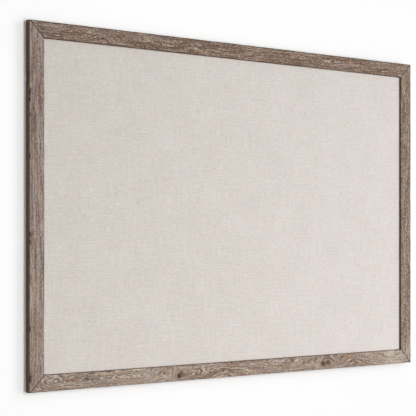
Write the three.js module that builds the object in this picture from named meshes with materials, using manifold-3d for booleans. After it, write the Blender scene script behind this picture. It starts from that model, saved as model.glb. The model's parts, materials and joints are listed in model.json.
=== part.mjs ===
// Framed linen board for the wall.
// Four mitred and rabbeted timber rails hold a cork panel that is wrapped in linen and backed with
// hardboard. Framer's points keep the panel in, V nails hold the mitres, two ring hangers carry the
// board and rubber bumpers keep it off the wall.
//
// Millimetres. The front faces -Y, +X is to the right seen from the front and +Z is up.
// The origin is the middle of the board on the wall plane, where the bumpers touch the wall.

import * as THREE from 'three';
import { mergeVertices } from 'three/addons/utils/BufferGeometryUtils.js';
import Module from 'manifold-3d';

const wasm = await Module();
wasm.setup();

// Overall size of the board
const boardWidth = 914;
const boardHeight = 610;

// Timber rails
const railFace = 28.6;
const lipThickness = 5.2;
const rabbetWidth = 7;
const frontEase = 1.2;
const sightEase = 0.8;
const backEase = 0.6;
const mitreGap = 0.15;

// Linen, cork and hardboard, from the front to the back
const seatClearance = 0.1;
const panelSideClearance = 1;
const linenThickness = 0.6;
const linenSwell = 0.2;
const linenSwellMargin = 0.4;
const linenTurnIn = 26;
const corkThickness = 3;
const backingThickness = 1.6;
const glueLine = 0.05;

// Framer's points, driven into the rabbet behind the panel
const pointWidth = 5.6;
const pointThickness = 0.4;
const pointBite = 5;
const pointReach = 10;
const pointTip = 2.4;
const pointCover = 1;
const longSidePoints = 5;
const shortSidePoints = 3;

// V nails, pressed across each mitre from the back
const vNailLeg = 5;
const vNailThickness = 0.6;
const vNailHeight = 7;
const vNailSink = 0.3;
const vNailHalfAngle = Math.PI / 3;
const vNailPlaceShares = [0.42, 0.74];
const mitreTurn = 0.75 * Math.PI;

// Rubber bumpers
const bumperRadius = 6.35;
const bumperHeight = 4;
const bumperTaper = 0.5;
const bumperEdge = 0.7;
const bumperInset = 40;

// Ring hangers
const hangerDrop = 100;
const strapWidth = 10;
const strapSheet = 0.7;
const strapScrewDrop = 20;
const wireRadius = 1;
const curlPlay = 0.25;
const ringSidePlay = 1.5;
const ringCorner = 2.5;
const ringLeg = 1.5;
const ringSplit = 0.5;

// Hanger screws
const screwLength = 10;
const screwShankRadius = 1.75;
const screwPoint = 3;
const screwHeadRadius = 3.5;
const screwHeadHeight = 1.8;
const screwHeadRim = 0.5;
const recessLength = 3.6;
const recessWidth = 0.8;
const recessDepth = 1.1;

// Clearances of the cuts, and how far a cut runs past the face that it opens
const slotClearance = 0.2;
const holeClearance = 0.3;
const cutOverrun = 1;

// Steps of the round shapes
const edgeSteps = 2;
const roundSteps = 12;
const lathSteps = 32;
const wireSides = 8;
const ringSteps = 64;
const ringArcSteps = 12;
const cornerArcSteps = 4;

// Sizes that follow from these
const panelThickness = 2 * linenThickness + 3 * glueLine + corkThickness + backingThickness;
const pointSeat = glueLine + pointThickness + pointCover;
const railDepth = lipThickness + seatClearance + panelThickness + pointSeat;
const standOff = bumperHeight + glueLine;
const backLand = railFace - rabbetWidth;
const panelWidth = boardWidth - 2 * (backLand + panelSideClearance);
const panelHeight = boardHeight - 2 * (backLand + panelSideClearance);
const linenWrap = linenThickness + glueLine;
const curlRadius = wireRadius + curlPlay + strapSheet;
const ringBarHalf = strapWidth / 2 + ringSidePlay;
const ringRadius = ringBarHalf + ringCorner;
const strapThickness = 2 * strapSheet;

// Materials
const timber = new THREE.MeshStandardMaterial({ color: 0x8a7a6d, roughness: 0.82, metalness: 0 });
const linen = new THREE.MeshStandardMaterial({ color: 0xd9d2ca, roughness: 0.95, metalness: 0 });
const cork = new THREE.MeshStandardMaterial({ color: 0xb58a5c, roughness: 0.95, metalness: 0 });
const hardboard = new THREE.MeshStandardMaterial({ color: 0x7a5538, roughness: 0.8, metalness: 0 });
const steel = new THREE.MeshStandardMaterial({ color: 0x9b9ea1, roughness: 0.45, metalness: 1 });
const platedSteel = new THREE.MeshStandardMaterial({ color: 0xc3c5c7, roughness: 0.28, metalness: 1 });
const rubber = new THREE.MeshStandardMaterial({ color: 0x2b2a29, roughness: 0.75, metalness: 0 });

// The directions that drawn outlines are turned to: across, up and out of the drawing
const alongX = new THREE.Vector3(1, 0, 0);
const alongY = new THREE.Vector3(0, 1, 0);
const alongZ = new THREE.Vector3(0, 0, 1);
const awayFromWall = new THREE.Vector3(0, -1, 0);
const facePlan = new THREE.Matrix4().makeBasis(alongX, alongZ, awayFromWall);
const sidePlan = new THREE.Matrix4().makeBasis(alongY, alongZ, alongX);

// A closed geometry as a solid that can be joined and cut
function solidOf(geometry) {
  const bare = geometry.clone();
  bare.deleteAttribute('normal');
  bare.deleteAttribute('uv');
  const welded = mergeVertices(bare);
  const vertProperties = new Float32Array(welded.attributes.position.array);
  const triVerts = new Uint32Array(welded.index.array);
  return new wasm.Manifold(new wasm.Mesh({ numProp: 3, vertProperties, triVerts }));
}

// A solid as a geometry again
function geometryOf(solid) {
  const { vertProperties, triVerts } = solid.getMesh();
  const geometry = new THREE.BufferGeometry();
  geometry.setAttribute('position', new THREE.BufferAttribute(vertProperties, 3));
  geometry.setIndex(new THREE.BufferAttribute(triVerts, 1));
  geometry.computeVertexNormals();
  return geometry;
}

// A geometry with pieces cut out of it
function cutFrom(geometry, cutters) {
  let solid = solidOf(geometry);
  for (const cutter of cutters) {
    solid = solid.subtract(solidOf(cutter));
  }
  return geometryOf(solid);
}

// An outline pulled straight out of its plan to a depth
function slab(outline, plan, depth, steps = roundSteps) {
  const options = { depth, bevelEnabled: false, curveSegments: steps };
  return new THREE.ExtrudeGeometry(outline, options).applyMatrix4(plan);
}

// A box between two faces along Y, centred on X and Z
function plate(width, height, front, back) {
  const box = new THREE.BoxGeometry(width, back - front, height);
  return box.translate(0, (front + back) / 2, 0);
}

function named(name, geometry, material) {
  const mesh = new THREE.Mesh(geometry, material);
  mesh.name = name;
  return mesh;
}

// A rail's section, drawn across from its outer edge and through from its back
function railSection() {
  const section = new THREE.Shape();
  section.moveTo(backEase, 0);
  section.lineTo(backLand, 0);
  section.lineTo(backLand, railDepth - lipThickness);
  section.lineTo(railFace, railDepth - lipThickness);
  section.absarc(railFace - sightEase, railDepth - sightEase, sightEase, 0, Math.PI / 2);
  section.absarc(frontEase, railDepth - frontEase, frontEase, Math.PI / 2, Math.PI);
  section.absarc(backEase, backEase, backEase, Math.PI, 1.5 * Math.PI);
  return section;
}

// A rail along X with its outer edge at z = 0 and its back at y = 0, mitred at both ends
function railBlank(length) {
  const options = { depth: 1, bevelEnabled: false, curveSegments: edgeSteps };
  const blank = new THREE.ExtrudeGeometry(railSection(), options);
  const points = blank.attributes.position;
  for (let i = 0; i < points.count; i += 1) {
    const across = points.getX(i);
    const through = points.getY(i);
    const end = points.getZ(i) > 0 ? -1 : 1;
    const reach = length / 2 - across - mitreGap * Math.SQRT1_2;
    points.setXYZ(i, end * reach, -through, -across);
  }
  return blank;
}

// A V nail or, grown by a clearance, its slot: the apex is at the origin and the legs run down
function vNailOutline(grow) {
  const half = vNailThickness / 2 + grow;
  const leg = vNailLeg + grow;
  const sine = Math.sin(vNailHalfAngle);
  const cosine = Math.cos(vNailHalfAngle);
  const outline = new THREE.Shape();
  outline.moveTo(0, half / sine);
  outline.lineTo(-leg * sine - half * cosine, -leg * cosine + half * sine);
  outline.lineTo(-leg * sine + half * cosine, -leg * cosine - half * sine);
  outline.lineTo(0, -half / sine);
  outline.lineTo(leg * sine - half * cosine, -leg * cosine - half * sine);
  outline.lineTo(leg * sine + half * cosine, -leg * cosine + half * sine);
  return outline;
}

// Where the V nails stand on the back of a rail: at its right end (end = 1) or its left end (end = -1)
function vNailPlaces(length, end) {
  return vNailPlaceShares.map((share) => ({
    x: end * (length / 2 - share * backLand),
    z: -share * backLand,
    turn: -end * mitreTurn,
  }));
}

function vNailSlots(length) {
  const depth = cutOverrun + vNailSink + vNailHeight + slotClearance;
  const places = [...vNailPlaces(length, 1), ...vNailPlaces(length, -1)];
  return places.map(({ x, z, turn }) => {
    const slot = slab(vNailOutline(slotClearance), facePlan, depth);
    return slot.rotateY(turn).translate(x, cutOverrun, z);
  });
}

function vNails(names, length) {
  const nail = slab(vNailOutline(0), facePlan, vNailHeight);
  return vNailPlaces(length, 1).map(({ x, z, turn }, i) => {
    const mesh = named(names[i], nail, steel);
    mesh.rotation.y = turn;
    mesh.position.set(x, -vNailSink, z);
    return mesh;
  });
}

// The places of the framer's points along a rail
function pointPlaces(length, count) {
  const pitch = (length - 2 * backLand) / count;
  return Array.from({ length: count }, (_, i) => (i + 0.5 - count / 2) * pitch);
}

function pointSlots(length, count) {
  return pointPlaces(length, count).map((x) => {
    const depth = pointBite + slotClearance + cutOverrun;
    const slot = new THREE.BoxGeometry(
      pointWidth + 2 * slotClearance,
      pointThickness + 2 * slotClearance,
      depth,
    );
    const across = pointBite + slotClearance - depth / 2 - backLand;
    return slot.translate(x, -pointCover - pointThickness / 2, across);
  });
}

function pointOutline() {
  const outline = new THREE.Shape();
  outline.moveTo(-pointWidth / 2, -pointReach);
  outline.lineTo(pointWidth / 2, -pointReach);
  outline.lineTo(pointWidth / 2, pointBite - pointTip);
  outline.lineTo(0, pointBite);
  outline.lineTo(-pointWidth / 2, pointBite - pointTip);
  return outline;
}

function framersPoints(name, length, count) {
  const plateOfPoint = slab(pointOutline(), facePlan, pointThickness);
  return pointPlaces(length, count).map((x, i) => {
    const mesh = named(`${name}_${i + 1}`, plateOfPoint, steel);
    mesh.position.set(x, -pointCover, -backLand);
    return mesh;
  });
}

// The pilot hole of a hanger screw in the back of a stile
function pilotHole(x) {
  const depth = screwLength - strapThickness + holeClearance + cutOverrun;
  const radius = screwShankRadius + holeClearance;
  const hole = new THREE.CylinderGeometry(radius, radius, depth, lathSteps);
  return hole.translate(x, cutOverrun - depth / 2, -backLand / 2);
}

// One side of the frame: its rail, its framer's points, and the V nails at its right end
function frameSide({ rail, length, out, turn, points, pointName, corner, screwAt }) {
  const side = new THREE.Group();
  const cutters = [...vNailSlots(length), ...pointSlots(length, points)];
  if (screwAt !== undefined) {
    cutters.push(pilotHole(screwAt));
  }
  side.add(named(rail, cutFrom(railBlank(length), cutters), timber));
  side.add(...framersPoints(pointName, length, points));
  side.add(...vNails([`v_nail_${corner}_outer`, `v_nail_${corner}_inner`], length));
  side.position.copy(out).setY(-standOff);
  side.rotation.y = turn;
  return side;
}

function frame() {
  const screwHeight = boardHeight / 2 - hangerDrop - strapScrewDrop;
  const wide = { length: boardWidth, points: longSidePoints };
  const tall = { length: boardHeight, points: shortSidePoints };
  const toEdge = new THREE.Vector3(boardWidth / 2, 0, 0);
  const toTop = new THREE.Vector3(0, 0, boardHeight / 2);
  const sides = [
    { ...wide, rail: 'top_rail', pointName: 'point_top', corner: 'top_right', out: toTop, turn: 0 },
    {
      ...tall,
      rail: 'right_stile',
      pointName: 'point_right',
      corner: 'bottom_right',
      out: toEdge,
      turn: Math.PI / 2,
      screwAt: -screwHeight,
    },
    {
      ...wide,
      rail: 'bottom_rail',
      pointName: 'point_bottom',
      corner: 'bottom_left',
      out: toTop.clone().negate(),
      turn: Math.PI,
    },
    {
      ...tall,
      rail: 'left_stile',
      pointName: 'point_left',
      corner: 'top_left',
      out: toEdge.clone().negate(),
      turn: -Math.PI / 2,
      screwAt: screwHeight,
    },
  ];
  const group = new THREE.Group();
  group.add(...sides.map(frameSide));
  return group;
}

// The linen is one cloth: the face, the four turned edges and the margin glued round the back.
// Inside the sight opening it stands a little forward of where the lip presses it.
function linenCover() {
  const back = panelThickness;
  const core = panelThickness - linenWrap;
  const wrapped = solidOf(plate(panelWidth, panelHeight, 0, back));
  const sightWidth = boardWidth - 2 * (railFace + linenSwellMargin);
  const sightHeight = boardHeight - 2 * (railFace + linenSwellMargin);
  const face = solidOf(plate(sightWidth, sightHeight, -linenSwell, linenThickness / 2));
  const coreWidth = panelWidth - 2 * linenThickness;
  const coreHeight = panelHeight - 2 * linenThickness;
  const coreSpace = solidOf(plate(coreWidth, coreHeight, linenThickness, core + glueLine));
  const openingWidth = panelWidth - 2 * linenTurnIn;
  const openingHeight = panelHeight - 2 * linenTurnIn;
  const opening = solidOf(plate(openingWidth, openingHeight, core, back + cutOverrun));
  return geometryOf(wrapped.add(face).subtract(coreSpace).subtract(opening));
}

// The panel's own zero along Y is the front of the linen where the lip presses it
function panel() {
  const group = new THREE.Group();
  const coreWidth = panelWidth - 2 * linenWrap;
  const coreHeight = panelHeight - 2 * linenWrap;
  const corkBack = linenWrap + corkThickness;
  const backingFront = corkBack + glueLine;
  const backingBack = backingFront + backingThickness;
  group.add(
    named('linen_cover', linenCover(), linen),
    named('cork_core', plate(coreWidth, coreHeight, linenWrap, corkBack), cork),
    named('backing_board', plate(coreWidth, coreHeight, backingFront, backingBack), hardboard),
  );
  group.position.y = -standOff - railDepth + lipThickness + seatClearance;
  return group;
}

// A bumper stands on the back of a stile, its round face towards the wall
function bumper(name) {
  const profile = new THREE.Path();
  profile.moveTo(0, 0);
  profile.lineTo(bumperRadius, 0);
  const rimRadius = bumperRadius - bumperTaper - bumperEdge;
  profile.absarc(rimRadius, bumperHeight - bumperEdge, bumperEdge, 0, Math.PI / 2);
  profile.lineTo(0, bumperHeight);
  return named(name, new THREE.LatheGeometry(profile.getPoints(edgeSteps), lathSteps), rubber);
}

function bumpers() {
  const group = new THREE.Group();
  for (const [sideName, side] of [['left', -1], ['right', 1]]) {
    for (const [endName, end] of [['top', 1], ['bottom', -1]]) {
      const foot = bumper(`bumper_${endName}_${sideName}`);
      foot.position.x = side * (boardWidth / 2 - backLand / 2);
      foot.position.z = end * (boardHeight / 2 - bumperInset);
      group.add(foot);
    }
  }
  group.position.y = glueLine - standOff;
  return group;
}

// The strap's side view: two layers of sheet against the wood, curled round the ring's bar
function strapSideView() {
  const offset = strapThickness - curlRadius;
  const join = Math.sqrt(curlRadius ** 2 - offset ** 2);
  const end = -strapScrewDrop - strapWidth / 2 - cutOverrun;
  const view = new THREE.Shape();
  view.moveTo(0, end);
  view.lineTo(strapThickness, end);
  view.absarc(curlRadius, 0, curlRadius, Math.atan2(-join, offset), Math.PI);
  const bore = new THREE.Path();
  bore.absarc(curlRadius, 0, wireRadius + curlPlay, 0, 2 * Math.PI, true);
  view.holes.push(bore);
  return view;
}

// The strap's outline seen from behind: straight sides and a round end about the screw
function strapOutline() {
  const outline = new THREE.Shape();
  outline.absarc(0, -strapScrewDrop, strapWidth / 2, Math.PI, 2 * Math.PI);
  outline.lineTo(strapWidth / 2, curlRadius + cutOverrun);
  outline.lineTo(-strapWidth / 2, curlRadius + cutOverrun);
  return outline;
}

function strap() {
  const width = strapWidth + 2 * cutOverrun;
  const bent = solidOf(slab(strapSideView(), sidePlan, width).translate(-width / 2, 0, 0));
  const height = 2 * (curlRadius + cutOverrun);
  const trimmed = solidOf(slab(strapOutline(), facePlan, height).translate(0, height - cutOverrun, 0));
  const holeRadius = screwShankRadius + holeClearance;
  const hole = new THREE.CylinderGeometry(holeRadius, holeRadius, height, lathSteps);
  const drilled = solidOf(hole.translate(0, 0, -strapScrewDrop));
  return geometryOf(bent.intersect(trimmed).subtract(drilled));
}

// Points on an arc in the ring's own plane
function arcPoints(x, z, radius, from, to, steps) {
  return Array.from({ length: steps + 1 }, (_, i) => {
    const angle = from + ((to - from) * i) / steps;
    return new THREE.Vector3(x + radius * Math.cos(angle), 0, z + radius * Math.sin(angle));
  });
}

// The ring is one bent wire, split in the middle of its straight bar inside the curl
function ring() {
  const quarter = Math.PI / 2;
  const route = [
    new THREE.Vector3(ringSplit / 2, 0, 0),
    new THREE.Vector3(ringBarHalf / 2, 0, 0),
    ...arcPoints(ringBarHalf, ringCorner, ringCorner, -quarter, 0, cornerArcSteps),
    ...arcPoints(0, ringCorner + ringLeg, ringRadius, 0, Math.PI, ringArcSteps),
    ...arcPoints(-ringBarHalf, ringCorner, ringCorner, Math.PI, 3 * quarter, cornerArcSteps),
    new THREE.Vector3(-ringBarHalf / 2, 0, 0),
    new THREE.Vector3(-ringSplit / 2, 0, 0),
  ];
  const section = new THREE.Shape();
  section.absarc(0, 0, wireRadius, 0, 2 * Math.PI);
  const options = {
    steps: ringSteps,
    extrudePath: new THREE.CatmullRomCurve3(route),
    curveSegments: wireSides / 2,
  };
  return new THREE.ExtrudeGeometry(section, options);
}

// A pan head screw along Y: its head rests on y = 0 and its shank runs into the wood
function screw() {
  const profile = new THREE.Path();
  profile.moveTo(0, -screwLength);
  profile.lineTo(screwShankRadius, screwPoint - screwLength);
  profile.lineTo(screwShankRadius, 0);
  profile.lineTo(screwHeadRadius, 0);
  profile.lineTo(screwHeadRadius, screwHeadRim);
  profile.quadraticCurveTo(screwHeadRadius, screwHeadHeight, 0, screwHeadHeight);
  const turned = new THREE.LatheGeometry(profile.getPoints(edgeSteps * 2), lathSteps);
  const depth = recessDepth + cutOverrun;
  const middle = screwHeadHeight - recessDepth + depth / 2;
  const slots = [
    new THREE.BoxGeometry(recessLength, depth, recessWidth),
    new THREE.BoxGeometry(recessWidth, depth, recessLength),
  ].map((slot) => slot.translate(0, middle, 0));
  return cutFrom(turned, slots);
}

// A ring hanger on the back of a stile, its ring standing up as it does on a wall hook
function hanger(sideName, side) {
  const group = new THREE.Group();
  const strapMesh = named(`hanger_strap_${sideName}`, strap(), platedSteel);
  const ringMesh = named(`hanger_ring_${sideName}`, ring(), platedSteel);
  const screwMesh = named(`hanger_screw_${sideName}`, screw(), platedSteel);
  strapMesh.position.y = glueLine;
  ringMesh.position.y = glueLine + curlRadius;
  screwMesh.position.set(0, 2 * glueLine + strapThickness, -strapScrewDrop);
  group.add(strapMesh, ringMesh, screwMesh);
  group.position.set(side * (boardWidth / 2 - backLand / 2), -standOff, boardHeight / 2 - hangerDrop);
  return group;
}

const board = new THREE.Group();
board.add(frame(), panel(), bumpers(), hanger('left', -1), hanger('right', 1));

export default board;
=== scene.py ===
"""Linen pinning board in a weathered oak frame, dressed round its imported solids.

Metres. The front faces -Y, +X is to the right seen from the front, +Z is up and the back rests at y = 0.
"""

import json
import math

import bmesh
import bpy
import numpy as np
from mathutils import Matrix, Vector


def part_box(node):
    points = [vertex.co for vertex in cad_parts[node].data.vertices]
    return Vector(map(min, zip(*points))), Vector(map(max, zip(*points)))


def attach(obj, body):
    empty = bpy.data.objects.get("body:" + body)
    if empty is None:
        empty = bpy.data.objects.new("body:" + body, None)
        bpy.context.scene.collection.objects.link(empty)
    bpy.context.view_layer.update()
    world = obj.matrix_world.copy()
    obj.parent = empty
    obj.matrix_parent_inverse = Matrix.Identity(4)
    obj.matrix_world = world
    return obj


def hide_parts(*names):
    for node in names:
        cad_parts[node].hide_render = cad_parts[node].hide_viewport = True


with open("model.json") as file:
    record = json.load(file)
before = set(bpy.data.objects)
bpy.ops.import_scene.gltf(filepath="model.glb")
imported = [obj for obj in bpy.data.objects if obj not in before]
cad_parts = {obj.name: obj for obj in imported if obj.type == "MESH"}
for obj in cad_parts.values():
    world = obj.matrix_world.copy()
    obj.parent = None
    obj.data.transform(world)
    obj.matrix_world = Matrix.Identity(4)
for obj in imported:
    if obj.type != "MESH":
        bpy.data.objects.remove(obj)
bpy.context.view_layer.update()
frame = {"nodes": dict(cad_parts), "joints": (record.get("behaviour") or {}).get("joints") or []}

MM = 0.001
EXACT = 1e-6

# The frame's sizes, read from its solids
TOP_LOW, TOP_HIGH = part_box("top_rail")
WIDTH = 2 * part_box("right_stile")[1].x
HEIGHT = 2 * TOP_HIGH.z
FRONT = TOP_LOW.y
BACK = TOP_HIGH.y
FACE = TOP_HIGH.z - TOP_LOW.z
MITRE_PULL = WIDTH / 2 - TOP_HIGH.x

# A rail's section
RABBET = 7 * MM
LIP = 5.2 * MM
FRONT_EASE = 0.9 * MM
SIGHT_EASE = 0.8 * MM
BACK_EASE = 0.5 * MM
BACK_LAND = FACE - RABBET
LIP_BACK = FRONT + LIP

# The panel and its cloth
CLOTH_LOW, CLOTH_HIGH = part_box("linen_cover")
CLOTH = 0.6 * MM
CLOTH_SWELL = 0.2 * MM
CLOTH_TURN_IN = 26 * MM
SIGHT_MARGIN = 0.4 * MM


# Modelling by hand


def deselect():
    bpy.ops.object.select_all(action="DESELECT")


def activate(piece):
    deselect()
    piece.select_set(True)
    bpy.context.view_layer.objects.active = piece


def edit(piece):
    activate(piece)
    bpy.ops.object.mode_set(mode="EDIT")
    bpy.ops.mesh.select_all(action="DESELECT")


def done():
    bpy.ops.object.mode_set(mode="OBJECT")


def pick(kind, wanted):
    """Selects only the faces, edges or verts that the wanted function says yes to."""
    bpy.ops.mesh.select_mode(type={"faces": "FACE", "edges": "EDGE", "verts": "VERT"}[kind])
    bpy.ops.mesh.select_all(action="DESELECT")
    mesh = bmesh.from_edit_mesh(bpy.context.object.data)
    mesh.normal_update()
    for part in getattr(mesh, kind):
        if wanted(part):
            part.select_set(True)
    bmesh.update_edit_mesh(bpy.context.object.data)


def middle(part):
    return sum((v.co for v in part.verts), Vector()) / len(part.verts)


def run(edge):
    """How far an edge goes along X, Y and Z."""
    step = edge.verts[1].co - edge.verts[0].co
    return Vector((abs(step.x), abs(step.y), abs(step.z)))


def on(value, place):
    return abs(value - place) < 20 * EXACT


def pick_all():
    bpy.ops.mesh.select_all(action="SELECT")


def split_at(place, normal, **options):
    """Splits the whole mesh along a plane."""
    pick_all()
    bpy.ops.mesh.bisect(plane_co=place, plane_no=normal, threshold=EXACT, **options)


def round_over(size, segments):
    bpy.ops.mesh.bevel(offset=size, segments=segments, affect="EDGES")


def squeeze(shares, centre):
    bpy.ops.transform.resize(value=shares, center_override=centre)


def push(x=0.0, y=0.0, z=0.0):
    """Extrudes what is selected by a step."""
    bpy.ops.mesh.extrude_region_move(TRANSFORM_OT_translate={"value": (x, y, z)})


def named(name):
    piece = bpy.context.object
    piece.name = name
    piece.data.name = name
    return piece


def settle(piece):
    """Moves the object's own place, turn and size into its mesh."""
    activate(piece)
    bpy.ops.object.transform_apply(location=True, rotation=True, scale=True)


def add_box(name, low, high):
    deselect()
    bpy.ops.mesh.primitive_cube_add(size=1, location=(Vector(high) + Vector(low)) / 2)
    piece = named(name)
    piece.scale = Vector(high) - Vector(low)
    settle(piece)
    return piece


def add_drum(name, centre, radius, start, end, sides, end_radius=None):
    """A round piece whose axis runs along Y at (x, z) from start to a higher end."""
    deselect()
    bpy.ops.mesh.primitive_cone_add(
        vertices=sides,
        radius1=radius,
        radius2=radius if end_radius is None else end_radius,
        depth=end - start,
        location=(centre[0], (start + end) / 2, centre[1]),
        rotation=(-math.pi / 2, 0, 0),
    )
    piece = named(name)
    settle(piece)
    return piece


def apply_modifier(piece, kind, **settings):
    activate(piece)
    modifier = piece.modifiers.new(kind.lower(), kind)
    for key, value in settings.items():
        setattr(modifier, key, value)
    bpy.ops.object.modifier_apply(modifier=modifier.name)


def cut(piece, cutter, operation="DIFFERENCE", solver="EXACT"):
    apply_modifier(piece, "BOOLEAN", object=cutter, operation=operation, solver=solver)
    bpy.data.objects.remove(cutter)


def join_pieces(name, pieces):
    deselect()
    for piece in pieces:
        piece.select_set(True)
    bpy.context.view_layer.objects.active = pieces[0]
    bpy.ops.object.join()
    return named(name)


def smooth(piece, angle):
    activate(piece)
    bpy.ops.object.shade_smooth_by_angle(angle=math.radians(angle))


def tidy_mesh(piece):
    """Merges doubled points and turns every face outwards."""
    edit(piece)
    pick_all()
    bpy.ops.mesh.remove_doubles(threshold=EXACT)
    bpy.ops.mesh.normals_make_consistent(inside=False)
    done()


def dress(piece, *materials):
    piece.data.materials.clear()
    for each in materials:
        piece.data.materials.append(each)


def copy_of(piece, name):
    twin = piece.copy()
    twin.data = piece.data.copy()
    twin.name = name
    twin.data.name = name
    bpy.context.collection.objects.link(twin)
    return twin


def seat(piece, body, slot, *nodes):
    """Parents a finished piece to the body it moves with and hides the solids it stands for. Its slot is
    not used.
    """
    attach(piece, body)
    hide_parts(*nodes)


def points_of(piece):
    spots = np.zeros(len(piece.data.vertices) * 3)
    piece.data.vertices.foreach_get("co", spots)
    return spots.reshape(-1, 3)


def place_points(piece, spots):
    piece.data.vertices.foreach_set("co", spots.ravel())
    piece.data.update()


def write_values(piece, name, values, domain="POINT"):
    kind = "FLOAT_VECTOR" if values.ndim == 2 else "FLOAT"
    layer = piece.data.attributes.new(name, kind, domain)
    layer.data.foreach_set("vector" if values.ndim == 2 else "value", values.astype(np.float32).ravel())


def ease(value, start, end):
    """0 before start, 1 past end and a smooth step between."""
    share = np.clip((value - start) / (end - start), 0, 1)
    return share * share * (3 - 2 * share)


def cloudy(seed, across, along):
    """Smooth seeded noise from 0 to 1 with one swell per unit."""
    table = np.random.default_rng(seed).random((256, 256))
    column = np.floor(across).astype(int)
    row = np.floor(along).astype(int)
    u = ease(across - column, 0, 1)
    v = ease(along - row, 0, 1)

    def corner(i, j):
        return table[(column + i) % 256, (row + j) % 256]

    near = corner(0, 0) * (1 - u) + corner(1, 0) * u
    far = corner(0, 1) * (1 - u) + corner(1, 1) * u
    return near * (1 - v) + far * v


# Writing materials


def paint(red, green, blue):
    """A colour given as screen values from 0 to 255."""
    parts = [c / 255 for c in (red, green, blue)]
    linear = [c / 12.92 if c <= 0.04045 else ((c + 0.055) / 1.055) ** 2.4 for c in parts]
    return (*linear, 1.0)


# Stands in a group for a colour that each material gives
UNPAINTED = paint(128, 128, 128)


class Nodes:
    """Adds nodes to a tree and joins them up."""

    def __init__(self, tree):
        self.tree = tree

    def add(self, kind, inputs=None, **settings):
        node = self.tree.nodes.new("ShaderNode" + kind)
        for key, value in settings.items():
            setattr(node, key, value)
        for key, value in (inputs or {}).items():
            self.feed(node.inputs[key], value)
        return node

    def feed(self, socket, value):
        if isinstance(value, bpy.types.NodeSocket):
            self.tree.links.new(value, socket)
        elif value is not None:
            socket.default_value = value

    def math(self, operation, *values):
        return self.add("Math", dict(enumerate(values)), operation=operation).outputs[0]

    def plus(self, first, second):
        return self.math("ADD", first, second)

    def minus(self, first, second):
        return self.math("SUBTRACT", first, second)

    def times(self, first, second):
        return self.math("MULTIPLY", first, second)

    def over(self, first, second):
        return self.math("DIVIDE", first, second)

    def times_plus(self, first, second, third):
        return self.math("MULTIPLY_ADD", first, second, third)

    def swing(self, value, share, base):
        """Base moved by a share of how far a value lies from a half."""
        return self.times_plus(self.minus(value, 0.5), share, base)

    def larger(self, first, second):
        return self.math("MAXIMUM", first, second)

    def absolute(self, value):
        return self.math("ABSOLUTE", value)

    def sine(self, value):
        return self.math("SINE", value)

    def scaled(self, vector, factor):
        inputs = {0: vector, "Scale": factor}
        return self.add("VectorMath", inputs, operation="SCALE").outputs[0]

    def split(self, vector):
        outputs = self.add("SeparateXYZ", {0: vector}).outputs
        return outputs[0], outputs[1], outputs[2]

    def join(self, x, y, z):
        return self.add("CombineXYZ", {0: x, 1: y, 2: z}).outputs[0]

    def noise(self, vector, detail=2.0, roughness=0.5):
        inputs = {"Vector": vector, "Scale": 1.0, "Detail": detail, "Roughness": roughness}
        return self.add("TexNoise", inputs).outputs["Fac"]

    def swells(self, place, size, detail=2.0, roughness=0.5):
        """Noise with swells of about the given size along X, across and, where it is given, deep."""
        factors = [1 / each for each in (*size, 1.0)[:3]]
        fitted = self.add("VectorMath", {0: place, 1: factors}, operation="MULTIPLY")
        return self.noise(fitted.outputs[0], detail, roughness)

    def between(self, value, low, high, start=0.0, end=1.0):
        """A value from low to high mapped smoothly to start to end."""
        inputs = {"Value": value, "From Min": low, "From Max": high, "To Min": start, "To Max": end}
        node = self.add("MapRange", inputs, interpolation_type="SMOOTHSTEP")
        return node.outputs["Result"]

    def mix(self, factor, first, second, blend="MIX"):
        node = self.add("Mix", data_type="RGBA", blend_type=blend)
        for index, value in ((0, factor), (6, first), (7, second)):
            self.feed(node.inputs[index], value)
        return node.outputs[2]


def group(name, inputs):
    """A shader node group that puts out a colour, a height and a roughness: its tree, its nodes and the
    sockets of both. Its inputs are numbers, colours or, where none is given, vectors."""
    tree = bpy.data.node_groups.new(name, "ShaderNodeTree")
    for socket, value in inputs.items():
        kind = "Vector" if value is None else "Color" if isinstance(value, tuple) else "Float"
        made = tree.interface.new_socket(socket, in_out="INPUT", socket_type="NodeSocket" + kind)
        if value is not None:
            made.default_value = value
    for socket, kind in (("Color", "Color"), ("Height", "Float"), ("Roughness", "Float")):
        tree.interface.new_socket(socket, in_out="OUTPUT", socket_type="NodeSocket" + kind)
    given = tree.nodes.new("NodeGroupInput").outputs
    return tree, Nodes(tree), given, tree.nodes.new("NodeGroupOutput").inputs


def material(name, roughness=0.5, metallic=0.0, specular=0.5):
    """A new material: itself, its nodes and its principled shader's inputs."""
    made = bpy.data.materials.new(name)
    made.use_nodes = True
    shader = made.node_tree.nodes["Principled BSDF"].inputs
    shader["Roughness"].default_value = roughness
    shader["Metallic"].default_value = metallic
    shader["Specular IOR Level"].default_value = specular
    return made, Nodes(made.node_tree), shader


def use(nodes, tree, **inputs):
    """A node group put into a material with its own values."""
    node = nodes.add("Group", node_tree=tree)
    for key, value in inputs.items():
        nodes.feed(node.inputs[key.replace("_", " ")], value)
    return node.outputs


def own(nodes, name, output="Fac"):
    return nodes.add("Attribute", attribute_name=name).outputs[output]


def object_place(nodes):
    return nodes.add("TexCoord").outputs["Object"]


def finish(nodes, shader, look, relief, strength):
    """Gives a material's shader the colour and roughness of a group and a bump of the given relief."""
    node = nodes.add("Bump", {"Height": look["Height"], "Distance": relief, "Strength": strength})
    nodes.feed(shader["Base Color"], look["Color"])
    nodes.feed(shader["Roughness"], look["Roughness"])
    nodes.feed(shader["Normal"], node.outputs["Normal"])


# Weathered, limed oak


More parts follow.
